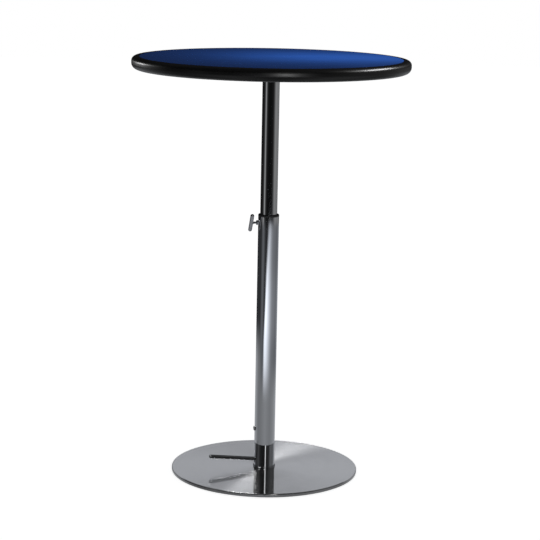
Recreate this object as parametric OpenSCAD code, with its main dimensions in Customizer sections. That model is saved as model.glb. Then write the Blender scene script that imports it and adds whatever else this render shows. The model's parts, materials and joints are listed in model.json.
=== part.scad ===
// Round bar-height pedestal table on a gas-lift telescoping column.
// Millimetres, +Z up. The origin is on the floor, on the column's axis.
// The foot lever, the clamp handle and the column screw all point along -X.

/* [Tabletop] */
// Diameter of the round top
top_d = 711.2; // [640:0.2:780]
// Thickness of the top, laminate and backer included
top_h = 32; // [30:0.5:36]
// Height of the top's surface above the floor, fully raised
table_h = 1087; // [1070:1:1120]
// Radial width of the black bullnose edge band
band_w = 20; // [18:0.5:26]
// Radius of the edge band's upper shoulder
band_r_top = 11.5; // [8:0.5:13]
// Radius of the edge band's lower shoulder
band_r_low = 15.5; // [10:0.5:16]
// Thickness of the laminate and of the backer sheet
sheet_t = 0.8; // [0.6:0.1:1.2]

/* [Base] */
// Diameter of the base disc
base_d = 488; // [440:1:520]
// Height of the base disc's upper surface above the floor
base_h = 10; // [10:0.5:12]
// Sheet thickness of the spun stainless cover
cover_t = 1.2; // [1:0.1:1.5]
// Radius of the cover's rolled upper edge
cover_r = 2.6; // [1.8:0.1:3]

/* [Column] */
// Outside diameter of the fixed outer tube
outer_od = 54; // [53:0.5:57]
// Outside diameter of the sliding inner tube
inner_od = 44; // [43:0.5:45]
// Wall of both tubes
tube_t = 1.5; // [1.4:0.1:1.6]
// Height of the outer tube's upper end above the floor
outer_top = 680; // [660:1:690]
// Height of the bush's visible rim
rim_h = 5.5; // [5:0.5:10]
// Travel of the column, from fully raised down to its lowest setting
travel = 320; // [260:5:320]

/* [Clamp handle] */
// Height of the clamp screw above the floor
clamp_z = 663.4; // [650:0.2:665]
// Distance from the column's axis to the middle of the cross bar
clamp_reach = 46.4; // [42:0.2:50]
// Length of the cross bar
bar_len = 53.5; // [44:0.5:60]
// Diameter of the cross bar
bar_d = 10; // [7:0.5:11]
// Turn of the cross bar about the screw, from upright
bar_turn = 27; // [0:1:90]

/* [Foot lever] */
// Height of the lever's axis where it leaves the outer tube
lever_z = 31.2; // [30.8:0.2:32]
// Distance from the column's axis to the lever's tip
lever_reach = 150.4; // [120:0.2:180]
// Upward slope of the lever, in degrees
lever_slope = 6.4; // [5.6:0.1:7.2]
// Diameter of the lever rod outside the column
lever_d = 10; // [9:0.5:11]

/* [Gas spring] */
// Outside diameter of the pressure tube
cyl_od = 28; // [27:0.5:29]
// Diameter of the piston rod
rod_d = 10; // [9:0.5:11]
// Height of the pressure tube's upper end above the floor
cyl_top = 450; // [440:1:452]

/* [Hidden] */

$fn = 96;

base_r = base_d / 2;
outer_r = outer_od / 2;
outer_ir = outer_r - tube_t;
inner_r = inner_od / 2;
inner_ir = inner_r - tube_t;
top_r = top_d / 2;
board_r = top_r - band_w;       // radius of the board inside the edge band
board_z = table_h - top_h;      // underside of the top
run = 0.08;                     // radial play of sliding and turning fits
snug = 0.03;                    // radial play of fixed fits

// Base
ring_h = 2.5;                   // floor ring, below the ballast plate
plate_top = base_h - cover_t;
hub_r = outer_ir - 0.05;
hub_top = 128;
bolt_pcd = 36;
bolt_r = 4;

// Foot lever
pivot_x = -13;
pivot_z = lever_z - (outer_r + pivot_x) * tan(lever_slope);
pivot_pin_r = 2.5;
lever_core = 4;                 // radius of the rod where it passes through the tube
collar_u = 16.8;                // stop collar, measured from the pivot along the lever
collar_len = 5.8;
grip_u = 24.2;                  // where the rod's full diameter starts
nose_u = 13;                    // nose, measured from the pivot along the lever
nose_w = 5;
nose_r = 4;
nose_z = pivot_z - nose_u * sin(lever_slope) + nose_w * cos(lever_slope);
pin_r = 3;
pin_low = nose_z + nose_r + 0.13;

// Gas spring
cyl_r = cyl_od / 2;
cyl_ir = cyl_r - 2;
cyl_low = 50;
cyl_floor = 66;
rod_r = rod_d / 2;
gland_h = 22;
piston_top = cyl_top - gland_h - 3;
piston_h = 16;
plug_low = 802;
plug_h = 15;
race_t = 1.6;
ball_r = 1.5;
race_low = plug_low - 2 * race_t - 2 * ball_r - 0.1;

// Column
tube_low = 520;
bush_low = outer_top - 67;
collar_h = 20;
flange_t = 4;
collar_low = board_z - flange_t - collar_h;

module ring(r_out, r_in, h) {
    difference() {
        cylinder(r = r_out, h = h);
        translate([0, 0, -1]) cylinder(r = r_in, h = h + 2);
    }
}

// A cylinder laid along +X, starting at the local origin.
module along_x(r, l) { rotate([0, 90, 0]) cylinder(r = r, h = l); }

// Places children in the lever's own frame: +X inward along the rod.
module lever_frame() {
    translate([pivot_x, 0, pivot_z]) rotate([0, lever_slope, 0]) children();
}

module base_cover() {
    color([0.72, 0.72, 0.73])
    difference() {
        rotate_extrude() difference() {
            union() {
                translate([0, 1.5]) square([base_r - cover_r, base_h - 1.5]);
                translate([0, 1.5]) square([base_r, base_h - cover_r - 1.5]);
                intersection() {
                    translate([base_r - cover_r, base_h - cover_r]) circle(r = cover_r);
                    translate([0, 0]) square([base_r + 1, base_h + 1]);
                }
            }
            union() {
                translate([-1, -1]) square([base_r - cover_r + 1, plate_top + 1]);
                translate([-1, -1]) square([base_r - cover_t + 1, base_h - cover_r + 1]);
                intersection() {
                    translate([base_r - cover_r, base_h - cover_r]) circle(r = cover_r - cover_t);
                    translate([0, 0]) square([base_r + 1, base_h + 1]);
                }
            }
        }
        for (a = [0, 120, 240]) rotate(a)
            translate([bolt_pcd / 2, 0, 0]) cylinder(r = bolt_r + 0.3, h = 20);
    }
}

module ballast_plate() {
    color([0.16, 0.16, 0.17])
    difference() {
        translate([0, 0, ring_h]) cylinder(r = base_r - 4, h = plate_top - ring_h);
        for (a = [0, 120, 240]) rotate(a) translate([bolt_pcd / 2, 0, 0]) {
            cylinder(r = bolt_r + 0.3, h = 20);
            translate([0, 0, ring_h - 0.01]) cylinder(r1 = 8.2, r2 = bolt_r + 0.3, h = 4);
        }
    }
}

module floor_ring() {
    color([0.06, 0.06, 0.06])
    rotate_extrude() {
        translate([base_r - 26, 0.6]) square([23.2, ring_h - 0.6]);
        translate([base_r - 25.4, 0]) square([22, 1]);
    }
}

module hub() {
    color([0.35, 0.36, 0.37])
    difference() {
        translate([0, 0, base_h]) cylinder(r = hub_r, h = hub_top - base_h);
        // taper that holds the gas cylinder
        translate([0, 0, cyl_low]) cylinder(r1 = 13.2 + snug, r2 = 14 + snug, h = 68);
        translate([0, 0, cyl_low + 67.9]) cylinder(r = cyl_r + snug + 0.05, h = 20);
        // clearance for the release pin and the lever's nose
        translate([0, 0, 30]) cylinder(r = 9, h = 21);
        // chamber for the lever block, open towards -X
        translate([-hub_r - 5, -6.6, 17.5]) cube([hub_r + 5 + 10, 13.2, 24.5]);
        // pivot pin
        translate([pivot_x, 0, pivot_z]) rotate([90, 0, 0])
            cylinder(r = pivot_pin_r + snug, h = 60, center = true);
        // base bolts
        for (a = [0, 120, 240]) rotate(a) translate([bolt_pcd / 2, 0, 0])
            cylinder(r = bolt_r + snug, h = base_h + 14.6);
        // column screw
        translate([-hub_r - 1, 0, 114.5]) along_x(3 + snug, 9.4);
    }
}

module hub_bolts() {
    color([0.55, 0.55, 0.56])
    for (a = [0, 120, 240]) rotate(a) translate([bolt_pcd / 2, 0, 0]) difference() {
        union() {
            translate([0, 0, ring_h + 0.2]) cylinder(r1 = 7.8, r2 = bolt_r, h = 3.8);
            translate([0, 0, ring_h + 3.9]) cylinder(r = bolt_r, h = 17.8);
        }
        translate([0, 0, ring_h]) cylinder(r = 2.9, h = 2.8, $fn = 6);
    }
}

module trim_ring() {
    color([0.78, 0.78, 0.8])
    translate([0, 0, base_h]) rotate_extrude() {
        translate([outer_r + 0.1, 0]) square([2.1, 2.2]);
        translate([outer_r + 0.1, 0]) square([0.7, 3.6]);
        intersection() {
            translate([outer_r + 0.8, 2.2]) circle(r = 1.4);
            translate([outer_r + 0.1, 0]) square([4, 10]);
        }
    }
}

module outer_tube() {
    color([0.78, 0.78, 0.8])
    difference() {
        translate([0, 0, base_h]) ring(outer_r, outer_ir, outer_top - base_h);
        // slot for the foot lever
        translate([-outer_r - 3, -4.9, 25.5]) cube([8, 9.8, 6.5]);
        for (z = [25.5, 32]) translate([-outer_r - 3, 0, z]) along_x(4.9, 8);
        // column screw and clamp screw
        translate([-outer_r - 3, 0, 114.5]) along_x(3.3, 8);
        translate([-outer_r - 3, 0, clamp_z]) along_x(3.4, 8);
    }
}

module tube_screw() {
    color([0.62, 0.62, 0.64])
    translate([-outer_r, 0, 114.5]) difference() {
        union() {
            along_x(3, 9);
            // domed head
            intersection() {
                translate([-3.7, -7, -7]) cube([3.7, 14, 14]);
                translate([3.65, 0, 0]) sphere(r = 7.35);
                translate([-4, 0, 0]) along_x(6.3, 8);
            }
        }
        translate([-5, 0, 0]) rotate([0, 90, 0]) cylinder(r = 2.3, h = 3, $fn = 6);
    }
}

module top_bush() {
    color([0.05, 0.05, 0.055])
    difference() {
        union() {
            translate([0, 0, bush_low]) ring(outer_ir - 0.05, inner_r + run, outer_top - bush_low + 1);
            translate([0, 0, outer_top]) rotate_extrude() {
                translate([inner_r + run, 0]) square([outer_r + 0.2 - inner_r - run, rim_h - 3]);
                translate([inner_r + run, 0]) square([outer_r - 2.8 - inner_r - run, rim_h]);
                intersection() {
                    translate([outer_r - 2.8, rim_h - 3]) circle(r = 3);
                    translate([inner_r + 1, 0]) square([outer_r - inner_r + 2, rim_h + 2]);
                }
            }
        }
        translate([-outer_r - 3, 0, clamp_z]) along_x(3.03, 12);
    }
}

module weld_nut() {
    color([0.6, 0.6, 0.62])
    translate([0, 0, clamp_z]) difference() {
        translate([-outer_r - 5.6, 0, 0]) rotate([0, 90, 0]) cylinder(r = 6.35, h = 7, $fn = 6);
        translate([0, 0, -20]) cylinder(r = outer_r + 0.02, h = 40);
        translate([-outer_r - 10, 0, 0]) along_x(3 + run, 20);
    }
}

module gas_cylinder() {
    color([0.07, 0.07, 0.08])
    rotate_extrude() polygon([
        [pin_r + 0.06, cyl_low], [13.2, cyl_low], [14, cyl_low + 68],
        [cyl_r, cyl_low + 68], [cyl_r, cyl_top], [cyl_ir, cyl_top],
        [cyl_ir, cyl_floor], [pin_r + 0.06, cyl_floor]]);
}

module cylinder_gland() {
    color([0.1, 0.1, 0.1])
    rotate_extrude() polygon([
        [rod_r + 0.06, cyl_top - gland_h], [cyl_ir - snug, cyl_top - gland_h],
        [cyl_ir - snug, cyl_top], [cyl_r - 0.6, cyl_top],
        [cyl_r - 1.6, cyl_top + 2], [rod_r + 0.06, cyl_top + 2]]);
}

module lever_pin() {
    color([0.6, 0.6, 0.62])
    translate([pivot_x, 0, pivot_z]) rotate([90, 0, 0])
        cylinder(r = pivot_pin_r, h = 40, center = true);
}

module piston_rod() {
    color([0.8, 0.8, 0.82])
    difference() {
        translate([0, 0, piston_top - piston_h - 2])
            cylinder(r = rod_r, h = plug_low + plug_h + 6 - piston_top + piston_h + 2);
        // groove for the clip
        translate([0, 0, plug_low + plug_h + 0.6]) ring(rod_r + 1, rod_r - 1, 1.6);
    }
}

module piston() {
    color([0.5, 0.5, 0.52])
    translate([0, 0, piston_top - piston_h]) rotate_extrude() polygon([
        [rod_r + snug, 0], [cyl_ir - 0.08, 0], [cyl_ir - 0.08, 5], [cyl_ir - 2.2, 5],
        [cyl_ir - 2.2, 9], [cyl_ir - 0.08, 9], [cyl_ir - 0.08, piston_h], [rod_r + snug, piston_h]]);
}

module piston_seal() {
    color([0.03, 0.03, 0.03])
    translate([0, 0, piston_top - piston_h + 5.1]) ring(cyl_ir - 0.05, cyl_ir - 2.1, 3.8);
}

module rod_bumper() {
    color([0.04, 0.04, 0.04])
    translate([0, 0, race_low - 14]) rotate_extrude() polygon([
        [rod_r + 0.1, 0], [9.5, 0], [11.5, 2.5], [11.5, 5], [10.2, 7], [11.5, 9],
        [11.5, 12], [10.5, 13.9], [rod_r + 0.1, 13.9]]);
}

module bearing_lower_race() {
    color([0.65, 0.65, 0.66])
    translate([0, 0, race_low]) ring(13, rod_r + 0.1, race_t);
}

module bearing_balls() {
    color([0.8, 0.8, 0.82])
    for (a = [0:30:330]) rotate(a)
        translate([9.2, 0, race_low + race_t + ball_r + 0.03]) sphere(r = ball_r, $fn = 32);
}

module bearing_upper_race() {
    color([0.65, 0.65, 0.66])
    translate([0, 0, plug_low - race_t]) ring(13, rod_r + 0.3, race_t - 0.02);
}

module rod_clip() {
    color([0.25, 0.25, 0.26])
    translate([0, 0, plug_low + plug_h + 0.7]) difference() {
        ring(8.5, rod_r - 0.95, 1.4);
        translate([0, -2.2, -1]) cube([12, 4.4, 4]);
    }
}

module rod_plug() {
    color([0.4, 0.4, 0.42])
    translate([0, 0, plug_low]) ring(inner_ir - 0.05, rod_r + run, plug_h);
}

module inner_tube() {
    color([0.78, 0.78, 0.8])
    translate([0, 0, tube_low]) ring(inner_r, inner_ir, board_z - flange_t - tube_low);
}

module slide_bush() {
    color([0.85, 0.85, 0.83])
    translate([0, 0, tube_low]) ring(outer_ir - run, inner_r + snug, 30);
}

module socket_collar() {
    color([0.05, 0.05, 0.055])
    difference() {
        translate([0, 0, collar_low]) ring(28, inner_r + snug, collar_h);
        for (a = [90, 270]) rotate(a)
            translate([18, 0, collar_low + 10]) along_x(3 + snug, 14);
    }
}

module collar_screws() {
    color([0.2, 0.2, 0.21])
    for (a = [90, 270]) rotate(a) translate([0, 0, collar_low + 10]) difference() {
        translate([inner_r + 0.15, 0, 0]) along_x(3, 7.2);
        translate([inner_r + 3.8, 0, 0]) rotate([0, 90, 0]) cylinder(r = 1.6, h = 6, $fn = 6);
    }
}

module top_plate() {
    color([0.05, 0.05, 0.055])
    difference() {
        translate([0, 0, board_z - flange_t]) cylinder(r = 110, h = flange_t);
        for (a = [30:60:330]) rotate(a) translate([94, 0, board_z - flange_t - 0.01])
            cylinder(r1 = 5, r2 = 2.6, h = flange_t + 0.1);
    }
}

module plate_screws() {
    color([0.7, 0.7, 0.68])
    for (a = [30:60:330]) rotate(a) translate([94, 0, board_z - flange_t]) difference() {
        union() {
            translate([0, 0, 0.2]) cylinder(r1 = 4.6, r2 = 2.2, h = 3.6);
            cylinder(r = 2.2, h = 18);
            translate([0, 0, 18]) cylinder(r1 = 2.2, r2 = 0.3, h = 4);
        }
        translate([0, 0, -1]) for (q = [0, 90]) rotate(q)
            translate([-2.4, -0.5, 0]) cube([4.8, 1, 2.6]);
    }
}

module tabletop_core() {
    color([0.72, 0.58, 0.4])
    difference() {
        translate([0, 0, board_z + sheet_t]) cylinder(r = board_r - 0.4, h = top_h - 2 * sheet_t);
        // groove for the edge band's tongue
        translate([0, 0, board_z + top_h / 2 - 1.6]) ring(board_r + 5, board_r - 12, 3.2);
        // pilot holes
        for (a = [30:60:330]) rotate(a) translate([94, 0, board_z - 1]) cylinder(r = 2.25, h = 20.2);
    }
}

module top_laminate() {
    color([0.05, 0.13, 0.42])
    translate([0, 0, table_h - sheet_t]) cylinder(r = board_r - 0.2, h = sheet_t);
}

module backer_sheet() {
    color([0.08, 0.08, 0.08])
    difference() {
        translate([0, 0, board_z]) cylinder(r = board_r - 0.4, h = sheet_t);
        for (a = [30:60:330]) rotate(a) translate([94, 0, board_z - 1]) cylinder(r = 2.4, h = 5);
    }
}

module edge_band() {
    color([0.04, 0.04, 0.042])
    translate([0, 0, board_z]) rotate_extrude() {
        difference() {
            union() {
                translate([board_r, 0]) square([band_w - band_r_low, top_h]);
                translate([board_r, band_r_low]) square([band_w, top_h - band_r_low - band_r_top]);
                translate([board_r, top_h - band_r_top - 1]) square([band_w - band_r_top, band_r_top + 1]);
                intersection() {
                    translate([top_r - band_r_low, band_r_low]) circle(r = band_r_low);
                    translate([board_r, -1]) square([band_w + 1, band_r_low + 1]);
                }
                intersection() {
                    translate([top_r - band_r_top, top_h - band_r_top]) circle(r = band_r_top);
                    translate([board_r, top_h - band_r_top]) square([band_w + 1, band_r_top + 1]);
                }
            }
        }
        // tongue
        translate([board_r - 11, top_h / 2 - 1.3]) square([12, 2.6]);
    }
}

module brake_pad() {
    color([0.85, 0.84, 0.8])
    translate([-inner_r - 3.2, 0, clamp_z]) along_x(2.95, 3.05);
}

module clamp_screw() {
    color([0.7, 0.7, 0.72])
    translate([0, 0, clamp_z]) {
        translate([-clamp_reach - 1.6, 0, 0]) along_x(3, clamp_reach + 1.6 - inner_r - 4.2);
        translate([-inner_r - 4.25, 0, 0]) rotate([0, 90, 0]) cylinder(r1 = 3, r2 = 2.2, h = 1);
    }
}

module clamp_bar() {
    color([0.7, 0.7, 0.72])
    translate([-clamp_reach, 0, clamp_z]) difference() {
        rotate([bar_turn, 0, 0]) {
            cylinder(r = bar_d / 2, h = bar_len - bar_d, center = true);
            for (s = [-1, 1]) translate([0, 0, s * (bar_len - bar_d) / 2]) sphere(r = bar_d / 2);
        }
        translate([-1.7, 0, 0]) along_x(3 + snug, 10);
    }
}

module lever_rod() {
    color([0.7, 0.7, 0.72])
    lever_frame() {
        tip = (lever_reach + pivot_x) / cos(lever_slope) - lever_d / 2;
        translate([-tip, 0, 0]) along_x(lever_d / 2, tip - grip_u - 0.7);
        translate([-grip_u - 0.7, 0, 0]) rotate([0, 90, 0])
            cylinder(r1 = lever_d / 2, r2 = lever_core, h = 0.7);
        translate([-grip_u - 1, 0, 0]) along_x(lever_core, grip_u + 1 - 3.4);
        translate([-tip, 0, 0]) sphere(r = lever_d / 2);
    }
}

// The collar that stops the lever from sliding through the tube's slot.
module lever_collar() {
    color([0.7, 0.7, 0.72])
    lever_frame() translate([-collar_u, 0, 0]) rotate([0, -90, 0]) rotate_extrude() polygon([
        [lever_core + snug, 0], [4.6, 0], [5.3, 0.7], [5.3, collar_len - 0.9],
        [4.4, collar_len], [lever_core + snug, collar_len]]);
}

module lever_block() {
    color([0.4, 0.4, 0.42])
    lever_frame() difference() {
        union() {
            translate([-10, -6, -5.6]) cube([28.5, 12, 11.2]);
            translate([nose_u, 0, nose_w]) rotate([90, 0, 0])
                cylinder(r = nose_r, h = 12, center = true);
        }
        rotate([90, 0, 0]) cylinder(r = pivot_pin_r + 0.06, h = 20, center = true);
        translate([-12, 0, 0]) along_x(lever_core + snug, 8.7);
    }
}

module release_pin() {
    color([0.75, 0.75, 0.77])
    rotate_extrude() polygon([
        [0, pin_low], [1.6, pin_low], [pin_r, pin_low + 1.4],
        [pin_r, 60.4], [pin_r - 0.6, 61], [0, 61]]);
}

base_cover();
ballast_plate();
floor_ring();
hub();
hub_bolts();
trim_ring();
outer_tube();
tube_screw();
top_bush();
weld_nut();
gas_cylinder();
cylinder_gland();
lever_pin();
piston_rod();
piston();
piston_seal();
rod_bumper();
bearing_lower_race();
bearing_balls();
rod_clip();
bearing_upper_race();
rod_plug();
inner_tube();
slide_bush();
socket_collar();
collar_screws();
top_plate();
plate_screws();
tabletop_core();
top_laminate();
backer_sheet();
edge_band();
brake_pad();
clamp_screw();
clamp_bar();
lever_rod();
lever_collar();
lever_block();
release_pin();
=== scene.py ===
import bpy, bmesh, json, math
from mathutils import Matrix, Vector


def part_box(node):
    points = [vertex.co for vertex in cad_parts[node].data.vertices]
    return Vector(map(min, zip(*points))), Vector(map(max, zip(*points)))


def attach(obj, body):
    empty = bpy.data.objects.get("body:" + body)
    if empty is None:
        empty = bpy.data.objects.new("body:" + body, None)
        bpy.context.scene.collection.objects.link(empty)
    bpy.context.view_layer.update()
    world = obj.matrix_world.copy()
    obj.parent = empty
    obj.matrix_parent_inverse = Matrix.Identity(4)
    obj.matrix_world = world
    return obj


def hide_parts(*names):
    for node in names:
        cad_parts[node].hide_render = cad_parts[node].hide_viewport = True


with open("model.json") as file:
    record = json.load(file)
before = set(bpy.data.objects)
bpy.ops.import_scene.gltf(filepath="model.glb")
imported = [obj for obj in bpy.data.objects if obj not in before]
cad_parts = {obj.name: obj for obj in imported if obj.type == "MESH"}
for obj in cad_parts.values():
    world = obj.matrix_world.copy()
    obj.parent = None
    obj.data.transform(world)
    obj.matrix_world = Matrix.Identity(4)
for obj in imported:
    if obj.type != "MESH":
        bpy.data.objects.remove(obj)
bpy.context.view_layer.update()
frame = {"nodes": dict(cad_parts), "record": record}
N = frame["nodes"]
scene = bpy.context.scene
scene.view_settings.view_transform = "Standard"
scene.view_settings.look = "None"
MM = 0.001
tau = 2 * math.pi


# ---------------------------------------------------------------- node helpers
class Nodes:
    """A small builder for a shader node tree."""

    def __init__(self, tree):
        self.t = tree
        self.t.nodes.clear()

    def new(self, kind, **props):
        n = self.t.nodes.new(kind)
        for k, v in props.items():
            setattr(n, k, v)
        return n

    def put(self, socket, value):
        if value is None:
            return
        if isinstance(value, bpy.types.NodeSocket):
            self.t.links.new(value, socket)
        else:
            socket.default_value = value

    def math(self, op, a, b=None, c=None, clamp=False):
        n = self.new("ShaderNodeMath", operation=op, use_clamp=clamp)
        for i, v in enumerate((a, b, c)):
            self.put(n.inputs[i], v)
        return n.outputs[0]

    def vmath(self, op, a, b=None):
        n = self.new("ShaderNodeVectorMath", operation=op)
        self.put(n.inputs[0], a)
        self.put(n.inputs[1], b)
        return n.outputs["Value"] if op in ("LENGTH", "DOT_PRODUCT", "DISTANCE") else n.outputs[0]

    def coords(self):
        return self.new("ShaderNodeTexCoord").outputs["Object"]

    def xyz(self, v):
        n = self.new("ShaderNodeSeparateXYZ")
        self.put(n.inputs[0], v)
        return n.outputs

    def join(self, x, y, z):
        n = self.new("ShaderNodeCombineXYZ")
        for i, v in enumerate((x, y, z)):
            self.put(n.inputs[i], v)
        return n.outputs[0]

    def scaled(self, v, s):
        n = self.new("ShaderNodeMapping")
        self.put(n.inputs["Vector"], v)
        n.inputs["Scale"].default_value = s
        return n.outputs[0]

    def noise(self, v, scale=1.0, detail=3.0, rough=0.5, dist=0.0):
        n = self.new("ShaderNodeTexNoise")
        self.put(n.inputs["Vector"], v)
        n.inputs["Scale"].default_value = scale
        n.inputs["Detail"].default_value = detail
        n.inputs["Roughness"].default_value = rough
        n.inputs["Distortion"].default_value = dist
        return n.outputs["Fac"]

    def voronoi(self, v, scale=1.0, feature="F1", out="Distance", rand=1.0):
        n = self.new("ShaderNodeTexVoronoi", feature=feature)
        self.put(n.inputs["Vector"], v)
        n.inputs["Scale"].default_value = scale
        n.inputs["Randomness"].default_value = rand
        return n.outputs[out]

    def span(self, v, a, b, lo, hi, smooth=False):
        n = self.new("ShaderNodeMapRange")
        n.clamp = True
        if smooth:
            n.interpolation_type = "SMOOTHSTEP"
        self.put(n.inputs["Value"], v)
        for k, x in zip(("From Min", "From Max", "To Min", "To Max"), (a, b, lo, hi)):
            self.put(n.inputs[k], x)
        return n.outputs["Result"]

    def ramp(self, v, stops, mode="LINEAR"):
        n = self.new("ShaderNodeValToRGB")
        n.color_ramp.interpolation = mode
        e = n.color_ramp.elements
        while len(e) < len(stops):
            e.new(0.5)
        for el, (p, c) in zip(e, stops):
            el.position = p
            el.color = (*c, 1.0) if isinstance(c, tuple) else (c, c, c, 1.0)
        self.put(n.inputs[0], v)
        return n.outputs["Color"]

    def mix(self, fac, a, b, kind="MIX"):
        n = self.new("ShaderNodeMix", data_type="RGBA", blend_type=kind)
        self.put(n.inputs[0], fac)
        for s, v in ((n.inputs[6], a), (n.inputs[7], b)):
            self.put(s, (*v, 1.0) if isinstance(v, tuple) and len(v) == 3 else v)
        return n.outputs[2]

    def bump(self, height, strength, distance, normal=None):
        n = self.new("ShaderNodeBump")
        n.inputs["Strength"].default_value = strength
        n.inputs["Distance"].default_value = distance
        self.put(n.inputs["Height"], height)
        self.put(n.inputs["Normal"], normal)
        return n.outputs[0]


def material(name, metallic=0.0, ior=1.5, specular=0.5, coat=0.0, coat_rough=0.05, aniso=0.0, aniso_rot=0.0):
    m = bpy.data.materials.new(name)
    m.use_nodes = True
    g = Nodes(m.node_tree)
    out = g.new("ShaderNodeOutputMaterial")
    p = g.new("ShaderNodeBsdfPrincipled")
    m.node_tree.links.new(p.outputs[0], out.inputs["Surface"])
    p.inputs["Metallic"].default_value = metallic
    p.inputs["IOR"].default_value = ior
    p.inputs["Specular IOR Level"].default_value = specular
    p.inputs["Coat Weight"].default_value = coat
    p.inputs["Coat Roughness"].default_value = coat_rough
    p.inputs["Anisotropic"].default_value = aniso
    p.inputs["Anisotropic Rotation"].default_value = aniso_rot
    return m, g, p


def surface(g, p, colour=None, rough=None, normal=None):
    g.put(p.inputs["Base Color"], (*colour, 1.0) if isinstance(colour, tuple) else colour)
    g.put(p.inputs["Roughness"], rough)
    g.put(p.inputs["Normal"], normal)


def ring_coords(g, radial, around):
    """Coordinates that run round the Z axis: x is the radius, y and z turn with the angle."""
    x, y, z = g.xyz(g.coords())
    r = g.math("SQRT", g.math("ADD", g.math("MULTIPLY", x, x), g.math("MULTIPLY", y, y)))
    safe = g.math("MAXIMUM", r, 0.0005)
    cx, sy = g.math("DIVIDE", x, safe), g.math("DIVIDE", y, safe)
    v = g.join(g.math("MULTIPLY", r, radial), g.math("MULTIPLY", cx, around), g.math("MULTIPLY", sy, around))
    return v, r, z


# ---------------------------------------------------------------- materials
def mat_laminate():
    m, g, p = material("blue_laminate_hpl", ior=1.5, specular=0.22)
    c = g.coords()
    cloud = g.noise(c, 5.0, 3.0, 0.55)
    grain = g.noise(c, 900.0, 2.0, 0.6)
    fleck = g.voronoi(c, 1400.0)
    tone = g.ramp(cloud, [(0.30, (0.0165, 0.078, 0.345)), (0.70, (0.0210, 0.090, 0.385))])
    col = g.mix(g.span(fleck, 0.0, 0.5, 0.10, 0.0), tone, (0.028, 0.110, 0.43))
    # faint wiped streaks and scuffs in the gloss
    wipe = g.noise(g.scaled(c, (7.0, 26.0, 7.0)), 1.0, 5.0, 0.6, 0.8)
    scuff = g.span(g.noise(g.scaled(c, (240.0, 14.0, 14.0)), 1.0, 2.0, 0.7), 0.66, 0.72, 0.0, 0.06)
    rough = g.math("ADD", g.span(wipe, 0.30, 0.70, 0.23, 0.31), scuff)
    h = g.math("ADD", g.math("MULTIPLY", grain, 0.6), g.math("MULTIPLY", fleck, 0.5))
    surface(g, p, col, rough, g.bump(h, 0.10, 0.00004))
    return m


def mat_edge_vinyl():
    m, g, p = material("black_edge_vinyl", ior=1.5, specular=0.30)
    v, r, z = ring_coords(g, 1.0, 1.0)
    lines = g.noise(g.join(g.math("MULTIPLY", r, 1300.0), g.math("MULTIPLY", z, 1300.0), 0.0), 1.0, 3.0, 0.6)
    c = g.coords()
    pores = g.noise(c, 700.0, 3.0, 0.6)
    patch = g.noise(c, 11.0, 4.0, 0.6)
    col = g.ramp(patch, [(0.3, (0.0018, 0.0018, 0.0020)), (0.75, (0.0034, 0.0033, 0.0035))])
    rough = g.math("ADD", g.span(patch, 0.3, 0.75, 0.28, 0.35), g.span(pores, 0.4, 0.7, 0.0, 0.04))
    h = g.math("ADD", g.math("MULTIPLY", lines, 0.5), g.math("MULTIPLY", pores, 0.5))
    surface(g, p, col, rough, g.bump(h, 0.02, 0.00002))
    return m


def mat_chrome_tube(name, tint=(0.66, 0.67, 0.69), rough0=0.026):
    m, g, p = material(name, metallic=1.0)
    c = g.coords()
    polish = g.noise(g.scaled(c, (900.0, 900.0, 6.0)), 1.0, 3.0, 0.6)     # fine lines along the tube
    smear = g.noise(g.scaled(c, (26.0, 26.0, 7.0)), 1.0, 5.0, 0.6, 0.6)   # handling marks
    wave = g.noise(g.scaled(c, (14.0, 14.0, 3.0)), 1.0, 1.0, 0.4)         # drawn-tube waviness
    tick = g.span(g.noise(g.scaled(c, (420.0, 420.0, 60.0)), 1.0, 2.0, 0.5), 0.70, 0.76, 0.0, 1.0)
    col = g.mix(g.span(smear, 0.35, 0.75, 0.0, 0.35), tint, tuple(t * 0.86 for t in tint))
    rough = g.math("ADD", g.span(smear, 0.40, 0.72, rough0, rough0 + 0.014), g.math("MULTIPLY", tick, 0.012))
    h = g.math("ADD", g.math("MULTIPLY", polish, 0.05), g.math("MULTIPLY", wave, 0.12))
    surface(g, p, col, rough, g.bump(h, 0.14, 0.00030))
    return m


def mat_chrome_small(name="bright_plate", tint=(0.47, 0.475, 0.49), rough0=0.05):
    m, g, p = material(name, metallic=1.0)
    c = g.coords()
    smear = g.noise(c, 160.0, 4.0, 0.6, 0.4)
    pit = g.span(g.voronoi(c, 900.0), 0.0, 0.10, 1.0, 0.0)
    col = g.mix(g.span(smear, 0.35, 0.75, 0.0, 0.5), tint, tuple(t * 0.80 for t in tint))
    rough = g.math("ADD", g.span(smear, 0.35, 0.75, rough0, rough0 + 0.09), g.math("MULTIPLY", pit, 0.06))
    h = g.math("SUBTRACT", g.math("MULTIPLY", smear, 0.5), g.math("MULTIPLY", pit, 0.2))
    surface(g, p, col, rough, g.bump(h, 0.15, 0.00008))
    return m


RIM = max((N["base_cover"].matrix_world @ Vector(v)).x for v in N["base_cover"].bound_box)      # the base radius


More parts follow.
